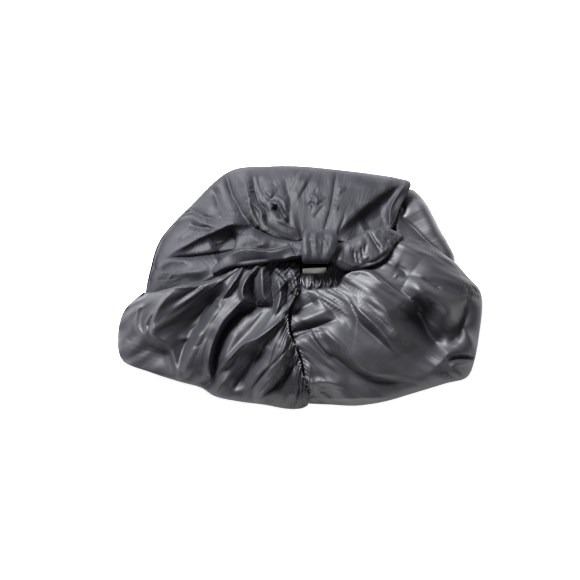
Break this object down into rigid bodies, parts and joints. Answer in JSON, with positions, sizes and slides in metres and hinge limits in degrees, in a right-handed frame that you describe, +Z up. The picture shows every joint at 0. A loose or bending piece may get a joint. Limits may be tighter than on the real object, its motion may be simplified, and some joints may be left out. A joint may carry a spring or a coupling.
{
  "type": "sleep cap",
  "caption": "Soft satin turban sleep cap lying flat, with a gathered elastic head opening, a looped front band, puffed back panels and a ruched centre seam.",
  "frame": {"origin": "middle of the footprint on the table", "axes": "+X to the right across the cap, -Y towards the viewer and the ruched seam's foot, +Y towards the front panel's fold, +Z up from the table"},
  "size_m": [0.363, 0.2674, 0.076],
  "materials": {
    "satin_crown": "satin",
    "satin_front": "satin",
    "satin_back": "satin",
    "satin_band": "satin",
    "satin_casing": "satin",
    "label_cloth": "matte"
  },
  "bodies": {
    "root": {"crown": "satin_crown", "front_panel": "satin_front", "back_panel_left": "satin_back", "back_panel_right": "satin_back", "front_band_left": "satin_band", "front_band_right": "satin_band", "knot_loop": "satin_band", "nape_casing": "satin_casing", "inner_label": "label_cloth"}
  },
  "joints": []
}
